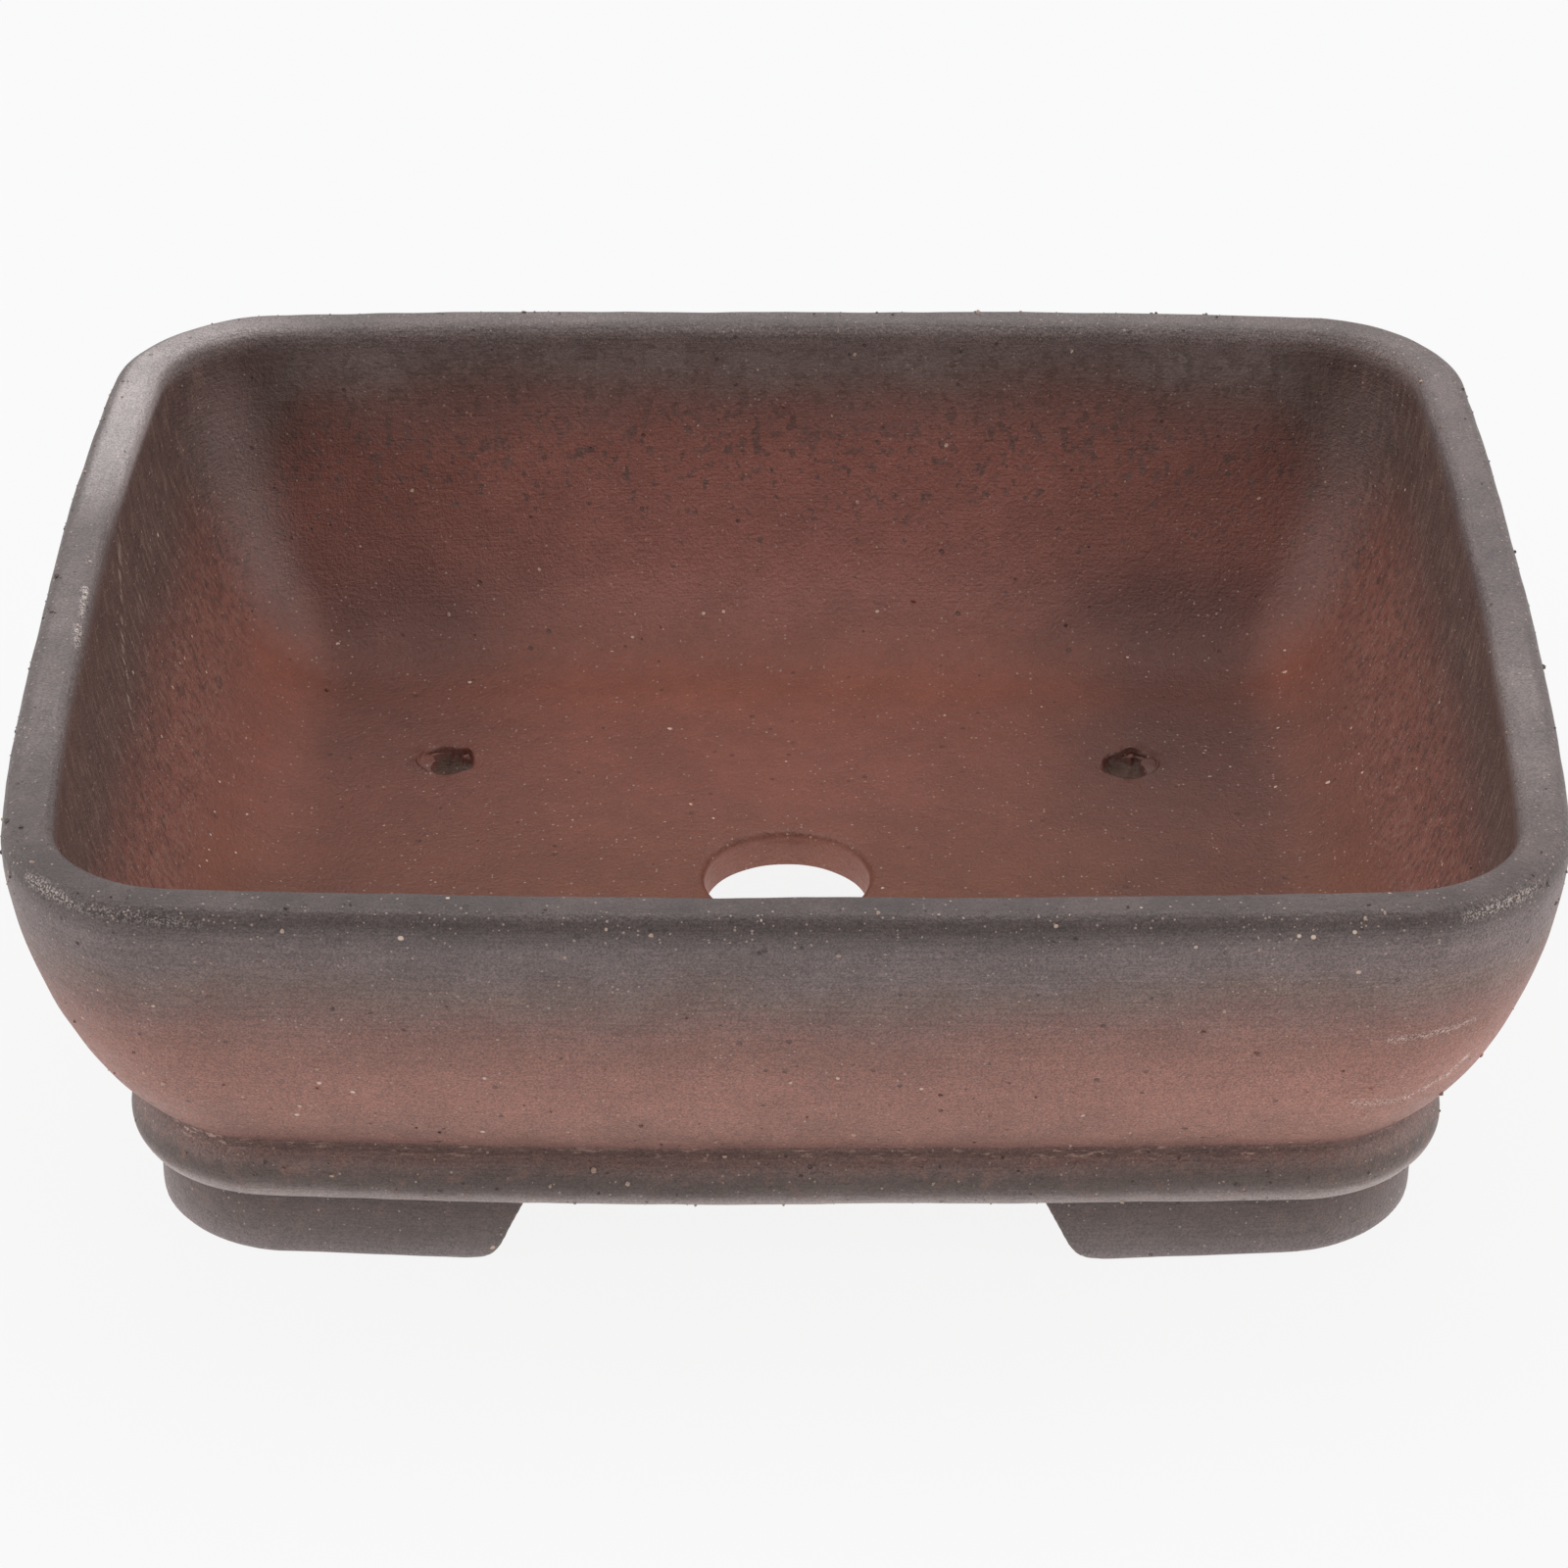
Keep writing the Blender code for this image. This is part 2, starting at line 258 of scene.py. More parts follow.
class Tree:
    """A short way to write node trees."""

    def __init__(self, name):
        self.material = bpy.data.materials.new(name)
        self.material.use_nodes = True
        self.tree = self.material.node_tree
        self.shader = self.tree.nodes["Principled BSDF"]

    def node(self, kind, inputs=None, **settings):
        made = self.tree.nodes.new(kind)
        for key, value in settings.items():
            setattr(made, key, value)
        for key, value in (inputs or {}).items():
            self.put(made.inputs[key], value)
        return made

    def put(self, socket, value):
        if isinstance(value, bpy.types.NodeSocket):
            self.tree.links.new(value, socket)
        else:
            socket.default_value = value

    def maths(self, operation, a, b=0.0, clamp=False):
        made = self.tree.nodes.new("ShaderNodeMath")
        made.operation = operation
        made.use_clamp = clamp
        self.put(made.inputs[0], a)
        self.put(made.inputs[1], b)
        return made.outputs[0]

    def noise(self, where, scale, detail=3.0, rough=0.5):
        made = self.node("ShaderNodeTexNoise", {"Vector": where, "Scale": scale, "Detail": detail, "Roughness": rough})
        return made.outputs["Fac"]

    def shift(self, value, noise_value, reach):
        """value moved up or down by a noise of 0 to 1, by up to half of reach."""
        made = self.maths("MULTIPLY_ADD", noise_value, reach)
        made.node.inputs[2].default_value = -reach / 2
        return self.maths("ADD", value, made)

    def stretch(self, where, scale):
        """Coordinates multiplied by a vector, for marks that run one way."""
        made = self.node("ShaderNodeVectorMath", {0: where, 1: scale}, operation="MULTIPLY")
        return made.outputs[0]

    def blur(self, where, wobble):
        """Coordinates nudged by a noise, which makes round marks ragged."""
        push = self.node("ShaderNodeVectorMath", {0: (1.1 * MM, -0.8 * MM, 0.9 * MM), "Scale": wobble}, operation="SCALE")
        return self.node("ShaderNodeVectorMath", {0: where, 1: push.outputs[0]}, operation="ADD").outputs[0]

    def flip(self, value):
        return self.maths("SUBTRACT", 1.0, value)

    def ramp(self, value, low, high, to_low=0.0, to_high=1.0):
        made = self.node(
            "ShaderNodeMapRange",
            {"Value": value, "From Min": low, "From Max": high, "To Min": to_low, "To Max": to_high},
            interpolation_type="SMOOTHSTEP",
        )
        return made.outputs["Result"]

    def mix(self, factor, a, b, blend="MIX"):
        made = self.tree.nodes.new("ShaderNodeMix")
        made.data_type = "RGBA"
        made.blend_type = blend
        self.put(made.inputs["Factor"], factor)
        self.put(made.inputs["A"], a)
        self.put(made.inputs["B"], b)
        return made.outputs["Result"]

    def specks(self, where, scale, share, size, size_spread=0.5):
        """Round grains: about this share of the cells of this size hold one."""
        cell = self.node("ShaderNodeTexVoronoi", {"Vector": where, "Scale": scale, "Randomness": 1.0})
        parts = self.node("ShaderNodeSeparateColor", {"Color": cell.outputs["Color"]})
        chosen = self.maths("LESS_THAN", parts.outputs["Red"], share)
        reach = self.maths("MULTIPLY_ADD", parts.outputs["Green"], size_spread * size)
        reach.node.inputs[2].default_value = size * (1 - size_spread)
        inside = self.maths("SUBTRACT", reach, cell.outputs["Distance"])
        inside = self.maths("MULTIPLY", inside, 6.0 / size, clamp=True)
        return self.maths("MULTIPLY", chosen, inside)

    def bands(self, value, low, high, stops):
        """A colour that changes with value, given as (place between low and high, colour) stops."""
        place = self.node("ShaderNodeMapRange", {"Value": value, "From Min": low, "From Max": high})
        made = self.node("ShaderNodeValToRGB", {"Fac": place.outputs["Result"]})
        marks = made.color_ramp.elements
        while len(marks) < len(stops):
            marks.new(0.5)
        for mark, (at, colour) in zip(marks, sorted(stops)):
            mark.position = (at - low) / (high - low)
            mark.color = colour
        return made.outputs["Color"]

    def scratch(self, where, start, end, reach, depth=1.0):
        """1 on the line between two points, fading out over reach. Distance along Y counts depth times."""
        squash = Vector((1.0, depth, 1.0))
        start, end = Vector(start) * squash * MM, Vector(end) * squash * MM
        where = self.stretch(where, squash) if depth != 1.0 else where
        along = end - start
        offset = self.node("ShaderNodeVectorMath", {0: where, 1: start}, operation="SUBTRACT").outputs[0]
        dot = self.node("ShaderNodeVectorMath", {0: offset, 1: along}, operation="DOT_PRODUCT").outputs["Value"]
        share = self.maths("DIVIDE", dot, along.length_squared, clamp=True)
        near = self.node("ShaderNodeVectorMath", {0: along, "Scale": share}, operation="SCALE").outputs[0]
        gap = self.node("ShaderNodeVectorMath", {0: offset, 1: near}, operation="DISTANCE").outputs["Value"]
        return self.ramp(gap, 0.0, reach * MM, 1.0, 0.0)

    def attribute(self, name):
        return self.node("ShaderNodeAttribute", attribute_name=name).outputs["Fac"]


def srgb(red, green, blue, gain=1.0):
    """A display colour out of 255 as the linear colour that nodes take, made lighter or darker by gain."""

    def one(value):
        value /= 255
        return gain * (value / 12.92 if value <= 0.04045 else ((value + 0.055) / 1.055) ** 2.4)

    return (one(red), one(green), one(blue), 1.0)


# Pale lines as (start, end, width, strength), in millimetres: rubbed scuffs on the left lip and the right front corner
# of the wall, and painted highlights on the rear left corner of the lip and along the lip's edge at both front
# corners.
SCUFFS_AND_PAINTED_GLINTS = [
    ((-85.2, -2.0, 55.5), (-84.6, -9.0, 55.5), 0.8, 0.9),
    ((-84.5, -11.5, 55.5), (-84.2, -15.5, 55.5), 1.3, 1.0),
    # Painted highlight on the rear left corner of the lip.
    ((-79.5, 60.5, 55.0), (-73.5, 64.2, 55.0), 1.5, 0.8),
    ((64.5, -69.8, 26.3), (70.5, -69.8, 25.9), 1.2, 0.4),
    ((70.5, -69.8, 25.9), (75.3, -69.0, 28.4), 0.8, 0.8),
    ((75.3, -69.0, 28.4), (77.4, -68.0, 30.8), 0.7, 0.9),
    ((67.5, -73.6, 37.4), (77.2, -72.0, 37.9), 0.8, 0.5),
    # Painted highlights along the lip's edge at both front corners.
    ((-83.4, -67.6, 54.4), (-77.6, -73.6, 54.4), 1.3, 0.5),
    ((-77.6, -73.6, 54.4), (-64.0, -76.8, 54.2), 1.1, 0.3),
    ((84.6, -67.5, 54.2), (75.0, -74.6, 54.2), 1.2, 0.4),
]
# Strokes left on the left inner face by a dry brush or a finger.
STROKES = [
    ((-84.2, 22.0, 51.0), (-83.2, 14.0, 45.0), 1.2, 0.55),
    ((-83.2, 13.0, 44.5), (-82.2, 5.0, 38.5), 1.0, 0.75),
    ((-82.2, 5.0, 38.5), (-81.4, 0.0, 34.5), 1.3, 0.6),
    ((-82.5, 26.0, 44.0), (-81.8, 22.0, 39.0), 1.0, 0.5),
]
# Single large grains that catch the light on the front.
LARGE_GRAINS = [
    (56.3, -76.4, 53.1),
    (57.9, -76.5, 52.9),
    (62.4, -76.4, 53.4),
    (-41.8, -77.2, 52.9),
    (-34.3, -67.7, 20.8),
    (-52.2, -71.8, 30.1),
    (-48.5, -71.3, 28.5),
    (-55.3, -68.5, 23.5),
]

# Clay colours up the outer face and up the smoked band and feet, as (height in mm, colour). The band and feet stops
# also hold painted light: paler foot bottoms next to the floor, painted shade under the band, and a painted highlight
# on the band's underside.
OUTER_STOPS = [
    (15.5, srgb(118, 89, 82)),
    (16.9, srgb(140, 103, 95)),
    (20.0, srgb(148, 106, 94)),
    (26.7, srgb(153, 105, 92)),
    (32.2, srgb(149, 102, 90)),
    (35.6, srgb(139, 96, 84)),
    (38.7, srgb(134, 95, 85)),
    (41.8, srgb(124, 93, 86)),
    (44.8, srgb(119, 96, 89)),
    (48.0, srgb(115, 98, 95)),
    (52.0, srgb(113, 99, 97)),
    (54.0, srgb(104, 92, 90)),
]
SMOKED_AND_PAINTED_LIGHT_STOPS = [
    # Painted light: the feet are paler towards their bottoms, next to the floor.
    (0.0, srgb(132, 118, 118)),
    (1.3, srgb(125, 112, 111)),
    (3.6, srgb(108, 95, 91)),
    # Painted shade under the band's overhang.
    (7.2, srgb(96, 79, 75)),
    (8.6, srgb(90, 77, 74)),
    # Painted highlight on the band's underside.
    (9.2, srgb(172, 158, 154)),
    (10.2, srgb(153, 138, 134)),
    (11.3, srgb(108, 93, 88)),
    (12.2, srgb(94, 79, 73)),
    (13.3, srgb(97, 80, 74)),
    (14.4, srgb(120, 97, 91)),
    (15.4, srgb(127, 98, 91)),
    (17.0, srgb(152, 113, 104)),
]


def stoneware(name, smoked=False):
    """Fired clay: grey where smoke reached it and red-brown elsewhere, with grog, pits and brush marks, and with
    painted light and shade on the lip, the band, the feet and the inner face.

    Mesh attributes: inside is 1 on the pot's inner face, lip 1 on the flat of the lip, edge 1 on the lip's rounded
    outer edge, sheen 1 on the painted highlight in the rear inner corners, seam 1 along the top of the band, and grit
    1 on pale grains and -1 on dark ones. A smoked piece, such as the band or a foot, is grey-brown all over."""
    t = Tree(name)
    where = t.node("ShaderNodeTexCoord").outputs["Object"]
    axes = t.node("ShaderNodeSeparateXYZ", {"Vector": where}).outputs
    height = axes["Z"]
    cloud = t.noise(where, 34.0, 4.0, 0.6)
    patch = t.noise(where, 120.0, 4.0, 0.6)
    mottle = t.noise(where, 420.0, 4.0, 0.65)
    sand = t.noise(where, 1000.0, 3.0, 0.7)
    grain = t.noise(where, 2300.0, 2.0, 0.7)
    silt = t.noise(where, 4600.0, 1.0, 0.5)
    brush = t.noise(t.stretch(where, (90.0, 90.0, 3600.0)), 1.0, 3.0, 0.65)
    hairs = t.noise(t.stretch(where, (1500.0, 1100.0, 150.0)), 1.0, 3.0, 0.6)
    edge = t.attribute("edge")

    if smoked:
        uneven = t.shift(t.shift(height, patch, 2.4 * MM), mottle, 1.6 * MM)
        crisp = t.ramp(height, 9.8 * MM, 11.5 * MM)
        uneven = t.maths("ADD", t.maths("MULTIPLY", uneven, crisp), t.maths("MULTIPLY", height, t.flip(crisp)))
        colour = t.bands(uneven, 0.0, 17 * MM, [(z * MM, c) for z, c in SMOKED_AND_PAINTED_LIGHT_STOPS])
        tone = t.ramp(t.maths("ADD", cloud, t.maths("MULTIPLY", mottle, 0.5)), 0.6, 0.95, 0.90, 1.10)
        outwards = t.node("ShaderNodeMath", {0: axes["X"]}, operation="ABSOLUTE").outputs[0]
        tone = t.maths("MULTIPLY", tone, t.ramp(outwards, 35 * MM, 68 * MM, 1.0, 1.14))
        reddish = t.maths("MULTIPLY", t.ramp(mottle, 0.52, 0.66), t.ramp(height, 10 * MM, 14 * MM, 0.15, 0.55))
        colour = t.mix(reddish, colour, srgb(126, 92, 82))
        # Painted shade in the crease where the band meets the wall.
        painted_crease_shade = t.ramp(t.attribute("seam"), 0.15, 1.0, 0.0, 0.5)
        colour = t.mix(painted_crease_shade, colour, srgb(72, 54, 48))
        dashes = t.noise(t.stretch(where, (700.0, 700.0, 4000.0)), 1.0, 2.0, 0.6)
        dashes = t.maths("MULTIPLY", t.ramp(dashes, 0.56, 0.63), t.attribute("seam"))
        dashes = t.maths("MULTIPLY", dashes, t.ramp(patch, 0.45, 0.58, 0.15, 0.9))
        colour = t.mix(dashes, colour, srgb(184, 150, 136))
        brushed = 0.6
        share = 0.22
        rough = 0.7
    else:
        # Outer face, from the grey rim through a cloudy change to the red belly.
        uneven = t.shift(t.shift(t.shift(height, cloud, 11 * MM), patch, 5 * MM), mottle, 5 * MM)
        limit = t.ramp(height, 16 * MM, 24 * MM)
        uneven = t.maths("ADD", t.maths("MULTIPLY", uneven, limit), t.maths("MULTIPLY", height, t.flip(limit)))
        outer = t.bands(uneven, 15 * MM, 54 * MM, [(z * MM, c) for z, c in OUTER_STOPS])
        # The lip's flat is greyer. Painted light makes it darker at the front and paler towards the back, paler on the
        # left, and darker on the right and at the back right. Painted shade makes its rounded outer edge darkest.
        back = t.ramp(t.shift(axes["Y"], patch, 12 * MM), -76 * MM, -30 * MM)
        lip = t.mix(back, srgb(73, 59, 56), srgb(108, 96, 93))
        # Painted light: a paler left lip, a darker rear right lip and a darker right lip.
        lip = t.mix(t.scratch(where, (-79, 57, 55), (-85, 38, 55), 27), lip, srgb(175, 164, 162))
        lip = t.mix(t.scratch(where, (0, 74, 55), (66, 74, 55), 30), lip, srgb(96, 85, 82))
        lip = t.mix(t.scratch(where, (86, 40, 55), (86, 5, 55), 30), lip, srgb(92, 80, 78))
        lip = t.mix(t.ramp(patch, 0.4, 0.66, 0.0, 0.15), lip, srgb(110, 95, 90))
        # Painted light on the rounded inner edge of the rear lip.
        turned = t.maths("MULTIPLY", t.ramp(height, 55.3 * MM, 54.3 * MM), t.ramp(axes["Y"], 50 * MM, 66 * MM))
        lip = t.mix(turned, lip, srgb(124, 110, 106))
        outer = t.mix(t.attribute("lip"), outer, lip)
        # Painted shade on the lip's rounded outer edge.
        outer = t.mix(t.maths("MULTIPLY", edge, 0.85), outer, srgb(79, 66, 63))
        # Inner face: olive-black under the lip, breaking into flecks, then red-brown. Smoke hung lower at the ends.
        ends = t.node("ShaderNodeMath", {0: axes["X"]}, operation="ABSOLUTE").outputs[0]
        ends = t.ramp(ends, 62 * MM, 76 * MM)
        lower = t.ramp(axes["X"], -10 * MM, 10 * MM, 11 * MM, 7.5 * MM)
        smoke_at = t.maths("ADD", height, t.maths("MULTIPLY", ends, lower))
        soft_at = t.shift(t.shift(smoke_at, cloud, 10 * MM), patch, 7 * MM)
        soft = t.ramp(soft_at, 36 * MM, 52 * MM)
        fleck_at = t.maths("MULTIPLY_ADD", smoke_at, 8.5)
        fleck_at.node.inputs[2].default_value = -0.27
        flecks = t.noise(t.stretch(where, (850.0, 850.0, 620.0)), 1.0, 3.0, 0.6)
        flecks = t.ramp(t.maths("ADD", fleck_at, flecks), 0.58, 0.66)
        soot = t.mix(t.ramp(soft_at, 43 * MM, 53 * MM), srgb(114, 92, 86), srgb(132, 117, 112))
        soot = t.mix(t.maths("MULTIPLY", ends, 0.85), soot, srgb(83, 57, 50))
        # Painted light: the inner back wall is made paler, most in its middle, from just above the floor up.
        middle = t.node("ShaderNodeMath", {0: axes["X"]}, operation="ABSOLUTE").outputs[0]
        middle = t.ramp(middle, 66 * MM, 18 * MM, 0.35, 1.0)
        painted_rear_light = t.maths("MULTIPLY", t.ramp(axes["Y"], 50 * MM, 64 * MM), t.flip(ends))
        painted_rear_light = t.maths("MULTIPLY", painted_rear_light, middle)
        painted_rear_light = t.maths("MULTIPLY", painted_rear_light, t.ramp(height, 13 * MM, 22 * MM))
        floor_red = t.mix(t.ramp(cloud, 0.35, 0.7), srgb(120, 68, 53), srgb(125, 71, 56))
        floor_red = t.mix(t.ramp(axes["X"], 0.0, 60 * MM, 0.0, 0.8), floor_red, srgb(107, 63, 50))
        floor_red = t.mix(t.ramp(axes["Y"], 26 * MM, -24 * MM), floor_red, srgb(105, 56, 32))
        floor_red = t.mix(t.ramp(axes["Y"], 34 * MM, 50 * MM), floor_red, srgb(131, 74, 57))
        clay_red = t.mix(t.ramp(height, 14.5 * MM, 24 * MM), floor_red, srgb(127, 80, 69))
        clay_red = t.mix(painted_rear_light, clay_red, srgb(156, 101, 90))
        plan = t.node("ShaderNodeVectorMath", {0: t.stretch(where, (1.0, 1.0, 0.0))}, operation="LENGTH")
        drain = t.maths("MULTIPLY", t.ramp(plan.outputs["Value"], 13 * MM, 12 * MM), t.ramp(height, 13.2 * MM, 12.6 * MM))
        clay_red = t.mix(drain, clay_red, srgb(152, 98, 82))
        # Painted shade where the floor meets the back wall, towards each end.
        outwards = t.node("ShaderNodeMath", {0: axes["X"]}, operation="ABSOLUTE").outputs[0]
        painted_corner_shade = t.maths("MULTIPLY", t.ramp(outwards, 24 * MM, 50 * MM), t.ramp(outwards, 68 * MM, 58 * MM))
        painted_corner_shade = t.maths("MULTIPLY", painted_corner_shade, t.ramp(axes["Y"], 2 * MM, 40 * MM, 0.35, 1.0))
        painted_corner_shade = t.maths("MULTIPLY", painted_corner_shade, t.ramp(height, 28 * MM, 19 * MM))
        painted_corner_shade = t.maths("MULTIPLY", painted_corner_shade, t.ramp(axes["X"], -10 * MM, 10 * MM, 0.40, 0.50))
        clay_red = t.mix(painted_corner_shade, clay_red, srgb(52, 34, 32))
        smoked_share = t.maths("MAXIMUM", soft, t.maths("MULTIPLY", flecks, 0.6))
        inner = t.mix(smoked_share, clay_red, soot)
        deep = t.maths("MULTIPLY", flecks, t.ramp(mottle, 0.44, 0.58, 0.0, 0.36))
        inner = t.mix(deep, inner, srgb(76, 59, 52))
        # Painted highlight down the rear inner corners.
        inner = t.mix(t.maths("MULTIPLY", t.attribute("sheen"), 0.62), inner, srgb(138, 113, 107))
        on_wall = t.ramp(height, 16 * MM, 22 * MM)
        wipe_marks_and_sheen = t.maths("MULTIPLY", t.ramp(hairs, 0.54, 0.62), t.maths("MULTIPLY", on_wall, 0.32))
        dry = t.maths("MULTIPLY", ends, t.flip(t.maths("MULTIPLY", t.attribute("sheen"), 1.4, clamp=True)))
        inner = t.mix(t.maths("MULTIPLY", wipe_marks_and_sheen, dry), inner, srgb(140, 112, 98))
        streaks = t.maths("MULTIPLY", t.ramp(hairs, 0.46, 0.38), t.maths("MULTIPLY", on_wall, 0.42))
        inner = t.mix(t.maths("MULTIPLY", streaks, dry), inner, srgb(64, 48, 43))
        for start, end, reach, strength in STROKES:
            mark = t.maths("MULTIPLY", t.scratch(where, start, end, reach), t.ramp(hairs, 0.50, 0.58))
            inner = t.mix(t.maths("MULTIPLY", mark, strength), inner, srgb(170, 150, 136))
        # Little light reaches far down the wiring holes.
        fold = t.node("ShaderNodeVectorMath", {0: where}, operation="ABSOLUTE").outputs[0]
        flat = t.stretch(fold, (1.0, 1.0, 0.0))
        gap = t.node("ShaderNodeVectorMath", {0: flat, 1: (WIRE_X, WIRE_Y, 0.0)}, operation="DISTANCE")
        well = t.maths("MULTIPLY", t.ramp(gap.outputs["Value"], 6 * MM, 5 * MM), t.ramp(height, 12.4 * MM, 11.7 * MM))
        well = t.maths("MULTIPLY", well, t.ramp(height, FLOOR_LOW.z + 0.3 * MM, FLOOR_LOW.z + 1.2 * MM))
        inner = t.mix(well, inner, srgb(92, 56, 38))
        brushed = t.maths("MULTIPLY", t.ramp(height, 30 * MM, 44 * MM, 0.35, 1.0), t.flip(t.attribute("inside")))
        outer = t.mix(t.attribute("inside"), outer, inner)
        # Pale scuffs where something rubbed the pot, and painted highlights on the lip's corners.
        broken = t.ramp(t.maths("ADD", t.maths("MULTIPLY", sand, 0.5), t.maths("ADD", grain, silt)), 1.2, 1.42)
        colour = outer
        for start, end, reach, strength in SCUFFS_AND_PAINTED_GLINTS:
            line = t.scratch(where, start, end, reach, 1.0 if start[2] > 50 else 0.15)
            mark = t.maths("MULTIPLY", line, t.maths("MULTIPLY", broken, strength))
            colour = t.mix(mark, colour, srgb(203, 187, 178))
        tone = t.ramp(t.maths("ADD", patch, t.maths("MULTIPLY", mottle, 0.6)), 0.62, 0.98, 0.94, 1.10)
        paler = t.maths("MULTIPLY", t.ramp(axes["X"], 15 * MM, 76 * MM, 0.0, 0.17), t.flip(t.attribute("inside")))
        tone = t.maths("MULTIPLY", tone, t.maths("ADD", paler, 1.0))
        share = t.maths("MULTIPLY", t.ramp(cloud, 0.46, 0.6, 0.12, 0.5), t.ramp(height, 50 * MM, 36 * MM, 0.35, 1.0))
        rough = t.maths("MULTIPLY_ADD", t.flip(t.attribute("inside")), 0.6)
        rough.node.inputs[2].default_value = 0.4

    # Grain, brush marks, pale grog, dark iron specks, and pale specks that are partly grains and partly painted
    # glints.
    coarse = t.maths("ADD", t.ramp(grain, 0.35, 0.65, -0.12, 0.12), t.ramp(sand, 0.35, 0.65, -0.05, 0.05))
    coarse = t.maths("ADD", coarse, t.ramp(silt, 0.38, 0.62, -0.18, 0.18))
    shade = t.maths("ADD", t.maths("MULTIPLY", coarse, rough), 1.0)
    lines = t.maths("MULTIPLY", t.ramp(brush, 0.33, 0.67, -0.12, 0.12), brushed)
    shade = t.maths("MULTIPLY", shade, t.maths("ADD", lines, 1.0))
    shade = t.maths("MULTIPLY", shade, tone)
    shade = t.node("ShaderNodeCombineColor", {"Red": shade, "Green": shade, "Blue": shade}).outputs["Color"]
    colour = t.mix(1.0, colour, shade, "MULTIPLY")
    # Pale specks, partly grains and partly painted glints, thickest on the lip's rounded outer edge.
    sparkle = t.maths("MULTIPLY_ADD", edge, 0.30)
    sparkle.node.inputs[2].default_value = 0.14
    specks_and_glints = t.specks(where, 1700.0, sparkle, 0.30)
    colour = t.mix(t.maths("MULTIPLY", specks_and_glints, 0.62), colour, srgb(190, 166, 153))
    grog = t.specks(t.blur(where, mottle), 330.0, share, 0.11)
    colour = t.mix(t.maths("MULTIPLY", grog, 0.85), colour, srgb(222, 190, 172))
    for place in LARGE_GRAINS:
        near = t.node("ShaderNodeVectorMath", {0: where, 1: Vector(place) * MM}, operation="DISTANCE")
        grain_here = t.ramp(t.shift(near.outputs["Value"], sand, 0.4 * MM), 0.34 * MM, 0.20 * MM)
        colour = t.mix(grain_here, colour, srgb(222, 196, 178))
    iron = t.specks(where, 400.0, 0.26, 0.15)
    colour = t.mix(t.maths("MULTIPLY", iron, 0.55), colour, srgb(60, 45, 41))
    grit = t.attribute("grit")
    colour = t.mix(t.maths("MULTIPLY", grit, 0.7, clamp=True), colour, srgb(206, 176, 158))
    colour = t.mix(t.maths("MULTIPLY", grit, -0.55, clamp=True), colour, srgb(62, 48, 45))
    t.put(t.shader.inputs["Base Color"], colour)

    relief = t.maths("MULTIPLY", grain, 0.20 * MM)
    for amount, part in ((0.20 * MM, sand), (0.07 * MM, brush), (0.12 * MM, grog), (-0.20 * MM, iron)):
        relief = t.maths("ADD", relief, t.maths("MULTIPLY", part, amount))
    bump = t.node("ShaderNodeBump", {"Height": relief, "Strength": 0.9, "Distance": 1.0})
    t.put(t.shader.inputs["Normal"], bump.outputs["Normal"])
    t.put(t.shader.inputs["Roughness"], t.ramp(sand, 0.3, 0.7, 0.42, 0.58))
    return t.material


# ---------------------------------------------------------------- wall and lip


def wall_section():
    """Up the outer face, over the lip, down the inner face and round the cove, then back under.

    Also gives each of the section's mesh attributes, and where the cove ends on the floor."""
    outer_top = TOP - LIP_OUTER_ROUND
    inner_top = TOP - LIP_INNER_ROUND
    floor_top = FLOOR_HIGH.z
    start = BASE_Z - 1.0 * MM
    outer = [(float(lean(z)), z) for z in np.linspace(start, outer_top, 46)[:-1]]
    rounded = arc((LIP_OUTER_ROUND, outer_top), LIP_OUTER_ROUND, 180, 90, 7)
    flat_end = WALL_THICKNESS - LIP_INNER_ROUND
    flat = [(inset, TOP) for inset in np.linspace(LIP_OUTER_ROUND, flat_end, 5)[1:-1]]
    turned = arc((flat_end, inner_top), LIP_INNER_ROUND, 90, 0, 5)
    cove_top = floor_top + COVE
    inner = [(float(lean(z)) + WALL_THICKNESS, z) for z in np.linspace(inner_top, cove_top, 34)[1:-1]]
    # The cove joins the inner face to the floor, tangent to both.
    z_step = 0.2 * MM
    slope = (float(lean(cove_top - z_step)) - float(lean(cove_top + z_step))) / (2 * z_step)
    first = (float(lean(cove_top)) + WALL_THICKNESS, cove_top)
    corner = (first[0] + slope * COVE, floor_top)
    last = (corner[0] + COVE * math.hypot(1, slope), floor_top)
    cove = []
    for s in np.linspace(0, 1, 15):
        weights = ((1 - s) ** 2, 2 * s * (1 - s), s * s)
        cove.append(tuple(sum(w * p[i] for w, p in zip(weights, (first, corner, last))) for i in (0, 1)))
    shelf = [(last[0], floor_top - SEAM_DEPTH)]
    under = even([shelf[0], (16.5 * MM, floor_top - SEAM_DEPTH), (15.8 * MM, start)], 2.2 * MM)
    section = outer + rounded + flat + turned + inner + cove + under
    down = len(inner) + len(cove) + len(under)
    rise = len(outer)
    values = {
        "inside": [0.0] * (rise + 8 + 3 + 6) + [0.35, 0.8] + [1.0] * (down - 2),
        "lip": [0.0] * rise + [0, 0, 0, 0, 0.1, 0.35, 0.75, 1] + [1.0] * (3 + 6 + 1) + [0.0] * (down - 1),
        "edge": [0.0] * (rise - 2) + [0.25, 0.5] + [0.8, 1, 1, 1, 1, 0.75, 0.35, 0] + [0.0] * (3 + 6 + down),
    }
    return section, values, last[0]


